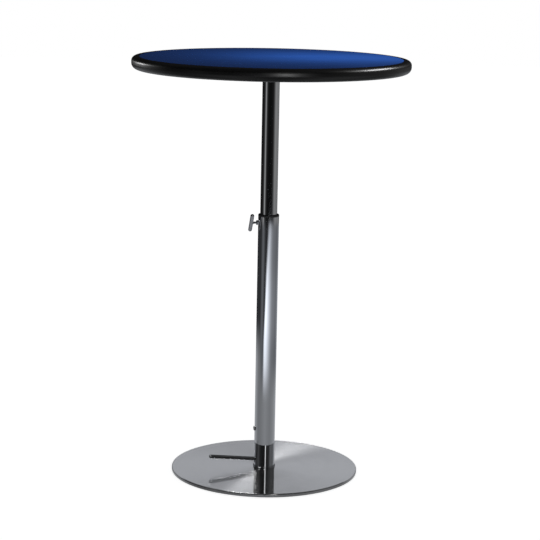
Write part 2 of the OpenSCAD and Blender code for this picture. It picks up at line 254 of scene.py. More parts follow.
def mat_brushed_disc():
    """Stainless sheet brushed in circles round the column."""
    m, g, p = material("circular_brushed_stainless", metallic=1.0, aniso=1.0, aniso_rot=0.25, coat=1.0, coat_rough=0.03)
    p.inputs["Coat IOR"].default_value = 2.3
    v, r, z = ring_coords(g, 2600.0, 2.2)
    fine = g.noise(v, 1.0, 4.0, 0.7)
    v2, _, _ = ring_coords(g, 520.0, 5.0)
    mid = g.noise(v2, 1.0, 3.0, 0.6)
    v3, _, _ = ring_coords(g, 26.0, 1.6)
    broad = g.noise(v3, 1.0, 2.0, 0.5)
    c = g.coords()
    smear = g.noise(c, 9.0, 4.0, 0.6, 0.7)
    line = g.math("ADD", g.math("MULTIPLY", fine, 0.55), g.math("MULTIPLY", mid, 0.45))
    col = g.ramp(g.math("ADD", g.math("MULTIPLY", line, 0.7), g.math("MULTIPLY", broad, 0.3)),
                 [(0.30, (0.50, 0.505, 0.515)), (0.70, (0.64, 0.645, 0.655))])
    rough = g.math("ADD", g.span(line, 0.30, 0.70, 0.14, 0.19), g.span(smear, 0.45, 0.75, 0.0, 0.03))
    col = g.mix(g.span(r, RIM - 0.0011, RIM - 0.0003, 0.0, 1.0), col, (0.27, 0.27, 0.27))      # painted shade: the rolled edge is painted dark grey
    surface(g, p, col, rough, g.bump(line, 0.10, 0.00002))
    t = g.new("ShaderNodeTangent", direction_type="RADIAL", axis="Z")
    g.put(p.inputs["Tangent"], t.outputs[0])
    return m


def mat_plastic(name, lo, hi, r0, r1, grain=1100.0, strength=0.25):
    m, g, p = material(name, ior=1.48)
    c = g.coords()
    tex = g.voronoi(c, grain)
    patch = g.noise(c, 30.0, 4.0, 0.6)
    col = g.mix(g.span(patch, 0.3, 0.75, 0.0, 1.0), lo, hi)
    rough = g.span(patch, 0.3, 0.75, r0, r1)
    surface(g, p, col, rough, g.bump(g.math("ADD", tex, g.math("MULTIPLY", patch, 0.3)), strength, 0.00005))
    return m


def mat_rubber():
    m, g, p = material("black_rubber", ior=1.5, specular=0.35)
    c = g.coords()
    grit = g.noise(c, 1500.0, 3.0, 0.7)
    dust = g.noise(c, 45.0, 4.0, 0.65)
    col = g.mix(g.span(dust, 0.45, 0.75, 0.0, 0.6), (0.011, 0.011, 0.011), (0.032, 0.031, 0.029))
    rough = g.span(grit, 0.3, 0.7, 0.68, 0.86)
    surface(g, p, col, rough, g.bump(g.math("ADD", grit, dust), 0.35, 0.00008))
    return m


def mat_zinc():
    m, g, p = material("zinc_plate", metallic=1.0)
    c = g.coords()
    spangle = g.voronoi(c, 260.0, out="Color")
    tone = g.math("MULTIPLY", g.vmath("LENGTH", spangle), 0.6)
    fine = g.noise(c, 1200.0, 3.0, 0.6)
    col = g.ramp(tone, [(0.2, (0.44, 0.445, 0.46)), (0.9, (0.58, 0.585, 0.575))])
    rough = g.span(fine, 0.3, 0.7, 0.22, 0.36)
    surface(g, p, col, rough, g.bump(fine, 0.2, 0.00003))
    return m


def mat_turned(name, lo, hi, r0=0.26, r1=0.38):
    """Machined steel, with turning marks round the column's axis."""
    m, g, p = material(name, metallic=1.0)
    v, r, z = ring_coords(g, 1800.0, 1.2)
    turn = g.noise(g.join(g.math("MULTIPLY", r, 1800.0), g.math("MULTIPLY", z, 1800.0), 0.0), 1.0, 3.0, 0.6)
    c = g.coords()
    stain = g.noise(c, 60.0, 4.0, 0.6)
    col = g.mix(g.span(stain, 0.35, 0.75, 0.0, 1.0), hi, lo)
    rough = g.math("ADD", g.span(turn, 0.3, 0.7, r0, r1), g.span(stain, 0.5, 0.75, 0.0, 0.08))
    surface(g, p, col, rough, g.bump(turn, 0.25, 0.00004))
    return m


def mat_powder(name, lo, hi, r0=0.38, r1=0.5, peel=420.0):
    """Powder coat or lacquer with an orange-peel surface."""
    m, g, p = material(name, ior=1.5)
    c = g.coords()
    skin = g.noise(c, peel, 3.0, 0.5)
    speck = g.span(g.voronoi(c, 800.0), 0.0, 0.12, 1.0, 0.0)
    patch = g.noise(c, 14.0, 4.0, 0.6)
    col = g.mix(g.span(patch, 0.3, 0.75, 0.0, 1.0), lo, hi)
    rough = g.math("ADD", g.span(patch, 0.3, 0.75, r0, r1), g.math("MULTIPLY", speck, 0.1))
    surface(g, p, col, rough, g.bump(g.math("ADD", skin, g.math("MULTIPLY", speck, 0.3)), 0.35, 0.00010))
    return m


def mat_particleboard():
    m, g, p = material("raw_particleboard", ior=1.45, specular=0.25)
    c = g.coords()
    chip = g.new("ShaderNodeTexVoronoi", feature="F1")
    g.put(chip.inputs["Vector"], g.scaled(c, (320.0, 320.0, 700.0)))
    chip.inputs["Scale"].default_value = 1.0
    tone = g.math("MULTIPLY", g.vmath("LENGTH", chip.outputs["Color"]), 0.58)
    fibre = g.noise(g.scaled(c, (900.0, 260.0, 900.0)), 1.0, 3.0, 0.6)
    col = g.ramp(g.math("ADD", g.math("MULTIPLY", tone, 0.7), g.math("MULTIPLY", fibre, 0.3)),
                 [(0.15, (0.20, 0.125, 0.060)), (0.5, (0.40, 0.27, 0.145)), (0.85, (0.60, 0.44, 0.26))])
    surface(g, p, col, g.span(fibre, 0.3, 0.7, 0.72, 0.9), g.bump(g.math("ADD", tone, fibre), 0.5, 0.0002))
    return m


M = {
    "stainless": mat_brushed_disc(),
    "chrome_tube": mat_chrome_tube("polished_chrome_tube"),
    "chrome_small": mat_chrome_small(),
    "zinc": mat_zinc(),
    "steel": mat_turned("turned_steel", (0.20, 0.20, 0.205), (0.38, 0.385, 0.39)),
    "ballast": mat_powder("ballast_black_paint", (0.018, 0.018, 0.020), (0.034, 0.034, 0.036), 0.45, 0.62, 160.0),
    "cylinder_black": mat_powder("black_lacquer", (0.010, 0.010, 0.012), (0.020, 0.020, 0.022), 0.26, 0.36),
    "plate_black": mat_powder("black_powder_coat", (0.012, 0.012, 0.013), (0.024, 0.024, 0.025)),
    "rubber": mat_rubber(),
    "black_plastic": mat_plastic("black_nylon", (0.010, 0.010, 0.011), (0.019, 0.019, 0.020), 0.30, 0.42),
    "natural_nylon": mat_plastic("natural_nylon", (0.62, 0.60, 0.53), (0.72, 0.70, 0.64), 0.36, 0.48, 600.0, 0.12),
    "edge_vinyl": mat_edge_vinyl(),
    "blue_laminate": mat_laminate(),
    "backer": mat_plastic("dark_backer", (0.020, 0.019, 0.018), (0.034, 0.032, 0.030), 0.52, 0.66, 380.0, 0.3),
    "particleboard": mat_particleboard(),
}
SLOT = {s["node"]: s["material_slot"] for s in frame["record"]["subparts"]}
for name, ob in N.items():
    for s in ob.material_slots:
        s.material = M[SLOT[name]]


# ---------------------------------------------------------------- mesh helpers
def fillet(points, radii, steps=6):
    """Rounds the corners of an open or closed outline of (r, z) points, in millimetres."""
    n = len(points)
    out = []
    for i, (p, rad) in enumerate(zip(points, radii)):
        if rad <= 0:
            out.append(p)
            continue
        a, b, c = Vector(points[i - 1]), Vector(p), Vector(points[(i + 1) % n])
        u, w = (a - b).normalized(), (c - b).normalized()
        ang = u.angle(w)
        d = rad / math.tan(ang / 2)
        mid = b + (u + w).normalized() * (rad / math.sin(ang / 2))
        s, e = b + u * d, b + w * d
        a0 = math.atan2(s.y - mid.y, s.x - mid.x)
        a1 = math.atan2(e.y - mid.y, e.x - mid.x)
        da = (a1 - a0 + math.pi) % tau - math.pi
        for k in range(steps + 1):
            t = a0 + da * k / steps
            out.append((mid.x + rad * math.cos(t), mid.y + rad * math.sin(t)))
    return out


def to_object(name, bm, mat, sharp=32.0, smooth=True):
    bmesh.ops.remove_doubles(bm, verts=bm.verts, dist=1e-7)
    bmesh.ops.recalc_face_normals(bm, faces=bm.faces)
    me = bpy.data.meshes.new(name)
    bm.to_mesh(me)
    bm.free()
    ob = bpy.data.objects.new(name, me)
    scene.collection.objects.link(ob)
    me.materials.append(mat)
    if smooth:
        me.shade_smooth()
        me.set_sharp_from_angle(angle=math.radians(sharp))
    return ob


def support(profile, closed, near=0.35):
    """Adds a point close to each end of a long straight run, so its shading stays straight."""
    out, n = [], len(profile)
    for i, p in enumerate(profile):
        out.append(p)
        if i == n - 1 and not closed:
            break
        q = profile[(i + 1) % n]
        d = math.dist(p, q)
        if d > 4 * near:
            f = near / d
            out.append((p[0] + (q[0] - p[0]) * f, p[1] + (q[1] - p[1]) * f))
            out.append((q[0] + (p[0] - q[0]) * f, q[1] + (p[1] - q[1]) * f))
    return out


def lathe_mesh(profile, seg, closed=True):
    """Turns an outline of (r, z) in millimetres round Z. Points at r = 0 become one vertex."""
    bm = bmesh.new()
    profile = support(profile, closed)
    rings = []
    for r, z in profile:
        if r < 1e-6:
            rings.append([bm.verts.new((0, 0, z * MM))])
        else:
            rings.append([bm.verts.new((r * MM * math.cos(tau * k / seg), r * MM * math.sin(tau * k / seg), z * MM)) for k in range(seg)])
    n = len(rings)
    for i in range(n if closed else n - 1):
        a, b = rings[i], rings[(i + 1) % n]
        if len(a) == 1 and len(b) == 1:
            continue
        for k in range(seg):
            k2 = (k + 1) % seg
            if len(a) == 1:
                bm.faces.new((a[0], b[k], b[k2]))
            elif len(b) == 1:
                bm.faces.new((a[k], b[0], a[k2]))
            else:
                bm.faces.new((a[k], b[k], b[k2], a[k2]))
    return bm


def lathe(name, profile, mat, seg=192, closed=True, sharp=32.0):
    return to_object(name, lathe_mesh(profile, seg, closed), mat, sharp)


def cut(ob, tools, op="DIFFERENCE"):
    """Applies exact booleans, and deletes the tools."""
    for t in tools:
        m = ob.modifiers.new("cut", "BOOLEAN")
        m.operation, m.solver, m.object = op, "EXACT", t
    bpy.context.view_layer.update()
    dg = bpy.context.evaluated_depsgraph_get()
    me = bpy.data.meshes.new_from_object(ob.evaluated_get(dg))
    ob.modifiers.clear()
    old, ob.data = ob.data, me
    bpy.data.meshes.remove(old)
    for t in tools:
        d = t.data
        bpy.data.objects.remove(t)
        bpy.data.meshes.remove(d)
    return ob


def place(ob, matrix):
    ob.data.transform(matrix)
    return ob


def prism(name, sides, r, z0, z1, mat, turn=0.0):
    bm = bmesh.new()
    low = [bm.verts.new((r * MM * math.cos(turn + tau * k / sides), r * MM * math.sin(turn + tau * k / sides), z0 * MM)) for k in range(sides)]
    top = [bm.verts.new((v.co.x, v.co.y, z1 * MM)) for v in low]
    bm.faces.new(low[::-1])
    bm.faces.new(top)
    for k in range(sides):
        k2 = (k + 1) % sides
        bm.faces.new((low[k], low[k2], top[k2], top[k]))
    return to_object(name, bm, mat, smooth=False)


def soften(ob, width, segs=2, angle=32.0):
    """A real bevel on the edges, applied to the mesh."""
    m = ob.modifiers.new("bevel", "BEVEL")
    m.width, m.segments, m.limit_method, m.angle_limit = width * MM, segs, "ANGLE", math.radians(angle)
    m.harden_normals = False
    bpy.context.view_layer.update()
    me = bpy.data.meshes.new_from_object(ob.evaluated_get(bpy.context.evaluated_depsgraph_get()))
    ob.modifiers.clear()
    old, ob.data = ob.data, me
    bpy.data.meshes.remove(old)
    me.shade_smooth()
    me.set_sharp_from_angle(angle=math.radians(angle))
    return ob


def stand_for(ob, body, slot, *nodes):
    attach(ob, body)
    if nodes:
        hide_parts(*nodes)
    return ob


def size(node):
    lo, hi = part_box(node)
    return [v / MM for v in lo], [v / MM for v in hi]


ALONG_X = Matrix.Rotation(math.radians(90), 4, "Y")      # +Z turned to +X

# ---------------------------------------------------------------- tabletop
lo, hi = size("edge_band")
TOP_R, TOP_Z, UNDER_Z = hi[0], hi[2], lo[2]
BOARD_R = TOP_R - 20.0
R_UP, R_LOW = 11.5, 15.5


def edge_profile(inset=0.0):
    """The bullnose's section, from the tongue round the outside and back."""
    o = inset
    pts = [(BOARD_R + o, UNDER_Z + 0.25 + o)]
    pts += [(BOARD_R + 0.35 + o, UNDER_Z + o)]
    pts += [(BOARD_R + 0.9 + o, UNDER_Z + o), (TOP_R - R_LOW - 0.6, UNDER_Z + o)]
    n = 20
    for k in range(n + 1):
        a = -math.pi / 2 + (math.pi / 2) * k / n
        pts.append((TOP_R - R_LOW + (R_LOW - o) * math.cos(a), UNDER_Z + R_LOW + (R_LOW - o) * math.sin(a)))
    for k in range(n + 1):
        a = (math.pi / 2) * k / n
        pts.append((TOP_R - R_UP + (R_UP - o) * math.cos(a), TOP_Z - R_UP + (R_UP - o) * math.sin(a)))
    pts += [(TOP_R - R_UP - 0.6, TOP_Z - o), (BOARD_R + 0.9 + o, TOP_Z - o), (BOARD_R + 0.45 + o, TOP_Z - o), (BOARD_R + o, TOP_Z - 0.35 - o)]
    mid = (TOP_Z + UNDER_Z) / 2
    pts += [(BOARD_R + o, mid + 1.3 - o), (BOARD_R - 4, mid + 1.3 - o), (BOARD_R - 11 + o, mid + 0.8),
            (BOARD_R - 11 + o, mid - 0.8), (BOARD_R - 4, mid - 1.3 + o), (BOARD_R + o, mid - 1.3 + o)]
    return pts


def make_edge_band():
    """The band is one length of extrusion, bent round the board, so its two ends meet at a butt joint at the back."""
    bm = bmesh.new()
    joint = math.radians(72.0)
    gap = 0.20 / TOP_R
    soft = 0.55 / TOP_R
    turns = [joint + gap, joint + gap + soft * 0.45, joint + gap + soft]
    seg = 288
    turns += [joint + gap + soft + (tau - 2 * (gap + soft)) * k / seg for k in range(1, seg)]
    turns += [joint + tau - gap - soft, joint + tau - gap - soft * 0.45, joint + tau - gap]
    insets = [0.28, 0.07] + [0.0] * (len(turns) - 4) + [0.07, 0.28]
    rings = []
    for a, o in zip(turns, insets):
        ca, sa = math.cos(a) * MM, math.sin(a) * MM
        rings.append([bm.verts.new((r * ca, r * sa, z * MM)) for r, z in edge_profile(o)])
    n = len(rings[0])
    for a, b in zip(rings, rings[1:]):
        for k in range(n):
            k2 = (k + 1) % n
            bm.faces.new((a[k], b[k], b[k2], a[k2]))
    for ring in (rings[0], rings[-1]):
        f = bm.faces.new(ring)
        bmesh.ops.triangulate(bm, faces=[f])
    return to_object("bullnose_edge_band", bm, M["edge_vinyl"], 30.0)


band = stand_for(make_edge_band(), "top", "edge_vinyl", "edge_band")

lam_lo, lam_hi = size("top_laminate")
LAM_R = lam_hi[0]
sheet = lathe("laminate_sheet", [(0, lam_lo[2])] + fillet(
    [(LAM_R, lam_lo[2]), (LAM_R, lam_hi[2])], [0, 0])[0:1] + [
    (LAM_R, lam_hi[2] - 0.30), (LAM_R - 0.10, lam_hi[2] - 0.10), (LAM_R - 0.30, lam_hi[2]), (LAM_R * 0.66, lam_hi[2]),
    (LAM_R * 0.33, lam_hi[2]), (0, lam_hi[2])], M["blue_laminate"], 256, closed=False)
stand_for(sheet, "top", "blue_laminate", "top_laminate")

# ---------------------------------------------------------------- under the top
pl_lo, pl_hi = size("top_plate")
PZ0, PZ1, PR = pl_lo[2], pl_hi[2], 110.0
plate = lathe("mounting_plate", [(0, PZ0)] + [
    (PR - 1.0, PZ0), (PR - 0.55, PZ0 + 0.08), (PR - 0.15, PZ0 + 0.42), (PR, PZ0 + 0.9),
    (PR, PZ1 - 0.6), (PR - 0.2, PZ1 - 0.15), (PR - 0.6, PZ1)] + [(0, PZ1)], M["plate_black"], 192, closed=False)
tools = []
for k in range(6):
    a = math.radians(30 + 60 * k)
    t = lathe("t", [(0, PZ0 - 1), (5.9, PZ0 - 1), (5.2, PZ0 + 0.0), (2.6, PZ1 + 0.2), (2.6, PZ1 + 1), (0, PZ1 + 1)], M["plate_black"], 32, closed=False)
    place(t, Matrix.Translation((0.094 * math.cos(a), 0.094 * math.sin(a), 0)))
    tools.append(t)
cut(plate, tools)
plate.data.shade_smooth()
plate.data.set_sharp_from_angle(angle=math.radians(32))
stand_for(plate, "top", "plate_black", "top_plate")

co_lo, co_hi = size("socket_collar")
CZ0, CZ1, CR = co_lo[2], co_hi[2], 28.0
collar = lathe("tube_socket", fillet(
    [(22.03, CZ0), (CR, CZ0), (CR, CZ1), (22.03, CZ1)], [0.5, 1.2, 0, 0], 5), M["plate_black"], 128)
tools = []
for a in (90, 270):
    t = lathe("t", [(0, 18), (3.03, 18), (3.03, CR - 0.6), (3.7, CR + 0.1), (3.7, CR + 4), (0, CR + 4)], M["plate_black"], 32, closed=False)
    place(t, Matrix.Translation((0, 0, (CZ0 + 10) * MM)) @ Matrix.Rotation(math.radians(a), 4, "Z") @ ALONG_X)
    tools.append(t)
cut(collar, tools)
collar.data.shade_smooth()
collar.data.set_sharp_from_angle(angle=math.radians(32))
stand_for(collar, "top", "plate_black", "socket_collar")


def weld_bead(name, radius, z, leg, mat, up=True, lumps=64, seg=384):
    """A fillet weld round the column, with the ripple of its passes."""
    bm = bmesh.new()
    s = 1 if up else -1
    rings = []
    for k in range(seg):
        a = tau * k / seg
        ph = (a * lumps / tau) % 1.0
        h = leg * (0.90 + 0.10 * math.sin(math.pi * ph) + 0.03 * math.sin(5 * a) + 0.02 * math.sin(11 * a + 1))
        sect = [(radius - 0.2, z - s * 0.05)]
        for j in range(7):
            t = (math.pi / 2) * j / 6
            b = 0.86 + 0.14 * math.sin(2 * t)
            sect.append((radius + h * math.cos(t) * b, z + s * h * math.sin(t) * b))
        sect.append((radius - 0.2, z + s * h * 0.98))
        rings.append([bm.verts.new((r * MM * math.cos(a), r * MM * math.sin(a), zz * MM)) for r, zz in sect])
    n = len(rings[0])
    for i in range(seg):
        a, b = rings[i], rings[(i + 1) % seg]
        for k in range(n):
            k2 = (k + 1) % n
            bm.faces.new((a[k], b[k], b[k2], a[k2]))
    return to_object(name, bm, mat, 50.0)


stand_for(weld_bead("socket_weld", CR, CZ1, 3.4, M["plate_black"], up=False), "top", "plate_black")

# ---------------------------------------------------------------- base
bc_lo, bc_hi = size("base_cover")
BR, BZ0, BZ1 = bc_hi[0], bc_lo[2], bc_hi[2]


def cover_profile():
    rr, t = 2.6, 1.2
    pts = [(0, BZ1), (BR * 0.25, BZ1), (BR * 0.5, BZ1), (BR * 0.75, BZ1), (BR - rr - 0.5, BZ1)]
    for k in range(11):
        a = math.pi / 2 * (1 - k / 10)
        pts.append((BR - rr + rr * math.cos(a), BZ1 - rr + rr * math.sin(a)))
    # rolled lip
    for k in range(7):
        a = -math.pi * k / 6
        pts.append((BR - t / 2 + t / 2 * math.cos(a), BZ0 + t / 2 + t / 2 * math.sin(a)))
    for k in range(7):
        a = math.pi / 2 * k / 6
        pts.append((BR - rr + (rr - t) * math.cos(a), BZ1 - rr + (rr - t) * math.sin(a)))
    pts += [(0, BZ1 - t)]
    return pts


cover = lathe("spun_base_cover", cover_profile(), M["stainless"], 288, closed=False)
tools = []
for a in (0, 120, 240):
    t = lathe("t", [(0, BZ1 - 4), (4.3, BZ1 - 4), (4.3, BZ1 + 4), (0, BZ1 + 4)], M["stainless"], 32, closed=False)
    tools.append(place(t, Matrix.Rotation(math.radians(a), 4, "Z") @ Matrix.Translation((0.018, 0, 0))))
cut(cover, tools)
cover.data.shade_smooth()
cover.data.set_sharp_from_angle(angle=math.radians(32))
stand_for(cover, "base", "stainless", "base_cover")

fr_lo, fr_hi = size("floor_ring")
FR, FZ1 = fr_hi[0], fr_hi[2]
tread = [(FR - 23.2, FZ1), (FR - 23.2, 0.7), (FR - 22.5, 0.0)]
for k in range(4):                                      # three shallow grooves in the tread
    r0 = FR - 22.5 + 5.6 * k
    tread += [(r0 + 4.4, 0.0)]
    if k < 3:
        tread += [(r0 + 4.7, 0.45), (r0 + 5.3, 0.45), (r0 + 5.6, 0.0)]
tread += [(FR - 0.8, 0.0), (FR - 0.15, 0.35), (FR, 0.9), (FR, FZ1)]
stand_for(lathe("rubber_floor_ring", tread, M["rubber"], 224, sharp=28), "base", "rubber", "floor_ring")

tr_lo, tr_hi = size("trim_ring")
TZ0, TZ1, TR = tr_lo[2], tr_hi[2], tr_hi[0]
stand_for(lathe("column_trim_ring", fillet(
    [(27.1, TZ0), (TR, TZ0), (TR, TZ1 - 0.4), (TR - 0.8, TZ1), (27.1, TZ1)], [0, 0.15, 0.8, 0.4, 0.25], 6),
    M["chrome_small"], 160), "base", "chrome_small", "trim_ring")

# ---------------------------------------------------------------- column
cs_lo, cs_hi = size("clamp_screw")
CLAMP_Z = (cs_lo[2] + cs_hi[2]) / 2
REACH = -cs_lo[0] - 1.6
TO_CLAMP = Matrix.Translation((0, 0, CLAMP_Z * MM))
cb_lo, cb_hi = size("clamp_bar")
BAR_R = (cb_hi[0] - cb_lo[0]) / 2
dy, dz = (cb_hi[1] - cb_lo[1]) / 2 - BAR_R, (cb_hi[2] - cb_lo[2]) / 2 - BAR_R
BAR_TURN = math.atan2(dy, dz)
HALF = math.hypot(dy, dz) + BAR_R
bu_lo, bu_hi = size("top_bush")
UZ0, UZ1 = bu_lo[2], bu_hi[2]
OUT_R, RIM_R = 27.0, bu_hi[0]
ot_lo, ot_hi = size("outer_tube")
RIM0 = ot_hi[2]
bush = lathe("column_bush", fillet(
    [(22.08, UZ0), (25.45, UZ0), (25.45, RIM0 - 0.02), (RIM_R, RIM0 - 0.02), (RIM_R, UZ1), (22.08, UZ1)],
    [0.4, 0.6, 0, 0.35, 3.0, 0.5], 9), M["black_plastic"], 160)
t = lathe("t", [(0, -30), (3.03, -30), (3.03, -18), (0, -18)], M["black_plastic"], 32, closed=False)
place(t, Matrix.Translation((0, 0, CLAMP_Z * MM)) @ ALONG_X)
cut(bush, [t])
bush.data.shade_smooth()
bush.data.set_sharp_from_angle(angle=math.radians(32))
stand_for(bush, "base", "black_plastic", "top_bush")

it_lo, it_hi = size("inner_tube")
stand_for(lathe("inner_column_tube", fillet(
    [(20.5, it_lo[2]), (22.0, it_lo[2]), (22.0, it_hi[2]), (20.5, it_hi[2])], [0.3, 0.4, 0.4, 0.3], 4),
    M["chrome_tube"], 160), "top", "chrome_tube", "inner_tube")

outer = lathe("outer_column_tube", fillet(
    [(25.5, ot_lo[2]), (27.0, ot_lo[2]), (27.0, ot_hi[2]), (25.5, ot_hi[2])], [0.2, 0.3, 0.35, 0.2], 4), M["chrome_tube"], 192)
tools = []
slot_pts = []
for k in range(17):
    a = math.pi * k / 16
    slot_pts.append((4.9 * math.cos(a), 32.0 + 4.9 * math.sin(a)))
for k in range(17):
    a = math.pi + math.pi * k / 16
    slot_pts.append((4.9 * math.cos(a), 25.5 + 4.9 * math.sin(a)))
bm = bmesh.new()
fa = [bm.verts.new((-0.030, y * MM, z * MM)) for y, z in slot_pts]
fb = [bm.verts.new((-0.022, y * MM, z * MM)) for y, z in slot_pts]
bm.faces.new(fa)
bm.faces.new(fb[::-1])
for k in range(len(fa)):
    k2 = (k + 1) % len(fa)
    bm.faces.new((fa[k], fb[k], fb[k2], fa[k2]))
tools.append(to_object("t", bm, M["chrome_tube"]))
for zc, rr in ((114.5, 3.3), (CLAMP_Z, 3.4)):
    t = lathe("t", [(0, -30), (rr, -30), (rr, -22), (0, -22)], M["chrome_tube"], 40, closed=False)
    tools.append(place(t, Matrix.Translation((0, 0, zc * MM)) @ ALONG_X))
cut(outer, tools)
outer.data.shade_smooth()
outer.data.set_sharp_from_angle(angle=math.radians(32))
stand_for(outer, "base", "chrome_tube", "outer_tube")

# ---------------------------------------------------------------- clamp handle


def threaded_rod(name, x0, x1, major, pitch, mat, seg=40, per=10, ends=(0.9, 0.9)):
    """A rod along X with a real helical thread, cut as a rounded vee."""
    depth = pitch * 0.54
    n = int(round((x1 - x0) / pitch * per))
    bm = bmesh.new()
    rings = []
    for i in range(n + 1):
        x = x0 + (x1 - x0) * i / n
        ring = []
        for k in range(seg):
            a = tau * k / seg
            ph = ((x - x0) / pitch - a / tau) % 1.0
            tri = abs(ph * 2 - 1)
            tri = min(1.0, max(0.0, (tri - 0.10) / 0.78))
            r = major - depth * tri
            edge = min((x - x0) / ends[0], (x1 - x) / ends[1], 1.0)
            r = min(r, major - depth * 1.05 + depth * 1.05 * max(edge, 0.0))
            ring.append(bm.verts.new((x * MM, r * MM * math.cos(a), r * MM * math.sin(a))))
        rings.append(ring)
    for a, b in zip(rings, rings[1:]):
        for k in range(seg):
            k2 = (k + 1) % seg
            bm.faces.new((a[k], a[k2], b[k2], b[k]))
    bm.faces.new(rings[0])
    bm.faces.new(rings[-1][::-1])
    return to_object(name, bm, mat, 60.0)


screw = threaded_rod("clamp_screw_thread", -REACH + BAR_R + 1.0, -25.3, 2.97, 1.0, M["chrome_small"])
place(screw, TO_CLAMP)
stand_for(screw, "clamp_handle", "chrome_small", "clamp_screw")
neck = lathe("clamp_screw_neck", fillet(
    [(0, -REACH - 1.5), (2.9, -REACH - 1.5), (2.9, -REACH + BAR_R + 1.1), (2.3, -REACH + BAR_R + 1.5), (0, -REACH + BAR_R + 1.5)],
    [0, 0, 0.2, 0.1, 0], 3), M["chrome_small"], 40, closed=False)
place(neck, TO_CLAMP @ ALONG_X)
stand_for(neck, "clamp_handle", "chrome_small")
# the weld that joins the screw to the bar
bead = lathe("clamp_weld", fillet(
    [(2.6, -REACH + BAR_R - 1.0), (4.1, -REACH + BAR_R - 0.7), (3.9, -REACH + BAR_R + 0.2), (3.1, -REACH + BAR_R + 1.0), (2.6, -REACH + BAR_R + 1.1)],
    [0, 0.3, 0.4, 0.3, 0], 3), M["chrome_small"], 40)
place(bead, TO_CLAMP @ ALONG_X)
stand_for(bead, "clamp_handle", "chrome_small")

bar_pts = [(0, -HALF)]
for k in range(1, 13):
    a = math.pi / 2 * (k / 12 - 1)
    bar_pts.append((BAR_R * math.cos(a), -HALF + BAR_R + BAR_R * math.sin(a)))
bar_pts += [(BAR_R, 0)]
bar_pts = bar_pts + [(r, -z) for r, z in bar_pts[-2::-1]]
bar = lathe("clamp_cross_bar", bar_pts, M["chrome_small"], 64, closed=False)
place(bar, Matrix.Translation((-REACH * MM, 0, CLAMP_Z * MM)) @ Matrix.Rotation(BAR_TURN, 4, "X"))
stand_for(bar, "clamp_handle", "chrome_small", "clamp_bar")

# weld nut: chamfered hexagon with a saddle for the tube
wn_lo, wn_hi = size("weld_nut")
NUT = wn_lo[0]
nut = prism("hex_weld_nut", 6, 6.35, NUT, -25.6, M["chrome_small"])
shell = lathe("t", [(0, NUT), (5.45, NUT), (6.5, NUT + 0.6), (6.5, -25), (0, -25)], M["chrome_small"], 64, closed=False)
cut(nut, [shell], "INTERSECT")
place(nut, TO_CLAMP @ ALONG_X)
saddle = lathe("t", [(0, CLAMP_Z - 12), (27.02, CLAMP_Z - 12), (27.02, CLAMP_Z + 12), (0, CLAMP_Z + 12)], M["chrome_small"], 192, closed=False)
bore = lathe("t", [(0, NUT - 2), (4.0, NUT - 2), (4.0, NUT - 0.1), (3.08, NUT + 0.9), (3.08, -20), (0, -20)], M["chrome_small"], 40, closed=False)
place(bore, TO_CLAMP @ ALONG_X)
cut(nut, [saddle, bore])
nut.data.shade_smooth()
nut.data.set_sharp_from_angle(angle=math.radians(28))
stand_for(nut, "base", "chrome_small", "weld_nut")


def saddle_weld():
    """A weld bead that follows the joint of the hexagon and the round tube."""
    bm = bmesh.new()
    seg, rings = 120, []
    for k in range(seg):
        a = tau * k / seg
        rad = 6.35 * math.cos(math.pi / 6) / math.cos((a % (math.pi / 3)) - math.pi / 6)
        rad = rad * 0.985
        lump = 1.0 + 0.16 * math.sin(a * 20) + 0.05 * math.sin(a * 7 + 0.6)
        y, z = rad * math.sin(a), rad * math.cos(a)
        x = -math.sqrt(27.0 ** 2 - y * y)
        c = Vector((x, y, z))
        outw = Vector((0, math.sin(a), math.cos(a)))
        norm = Vector((x, y, 0)).normalized()
        ring = []
        for j in range(6):
            t = tau * j / 6
            ring.append(bm.verts.new((c + outw * (0.75 * lump * math.cos(t)) + norm * (0.75 * lump * math.sin(t) + 0.15)) * MM))
        rings.append(ring)
    for i in range(seg):
        a, b = rings[i], rings[(i + 1) % seg]
        for k in range(6):
            k2 = (k + 1) % 6
            bm.faces.new((a[k], b[k], b[k2], a[k2]))
    ob = to_object("nut_weld", bm, M["chrome_small"], 60.0)
    return place(ob, TO_CLAMP)


stand_for(saddle_weld(), "base", "chrome_small")

# ---------------------------------------------------------------- foot lever
SLOPE = math.radians(6.4)
lr_lo, lr_hi = size("lever_rod")
PIVOT = Vector((-13.0, 0.0, 31.2 - 14.0 * math.tan(SLOPE)))
TIP = (-lr_lo[0] - 13.0) / math.cos(SLOPE) + 5 - 5 / math.cos(SLOPE)
rod_pts = [(0, -TIP)]
for k in range(1, 17):
    a = math.pi / 2 * k / 16
    rod_pts.append((5 * math.sin(a), -TIP + 5 - 5 * math.cos(a)))
rod_pts += [(5, -TIP * 0.7), (5, -TIP * 0.4), (5, -25.1), (4.9, -24.85), (4.15, -24.2), (4, -24.0), (4, -4.2), (3.3, -3.5), (0, -3.5)]
rod = lathe("foot_lever_rod", rod_pts, M["chrome_small"], 64, closed=False)
place(rod, Matrix.Translation(PIVOT * MM) @ Matrix.Rotation(SLOPE, 4, "Y") @ ALONG_X)
stand_for(rod, "foot_lever", "chrome_small", "lever_rod")
ring = lathe("lever_stop_collar", fillet(
    [(4.03, -22.6), (4.9, -22.6), (5.3, -21.6), (5.3, -16.8), (4.03, -16.8)], [0.1, 0.4, 0.5, 0.7, 0.2], 5), M["chrome_small"], 64)
place(ring, Matrix.Translation(PIVOT * MM) @ Matrix.Rotation(SLOPE, 4, "Y") @ ALONG_X)
stand_for(ring, "foot_lever", "chrome_small", "lever_collar")

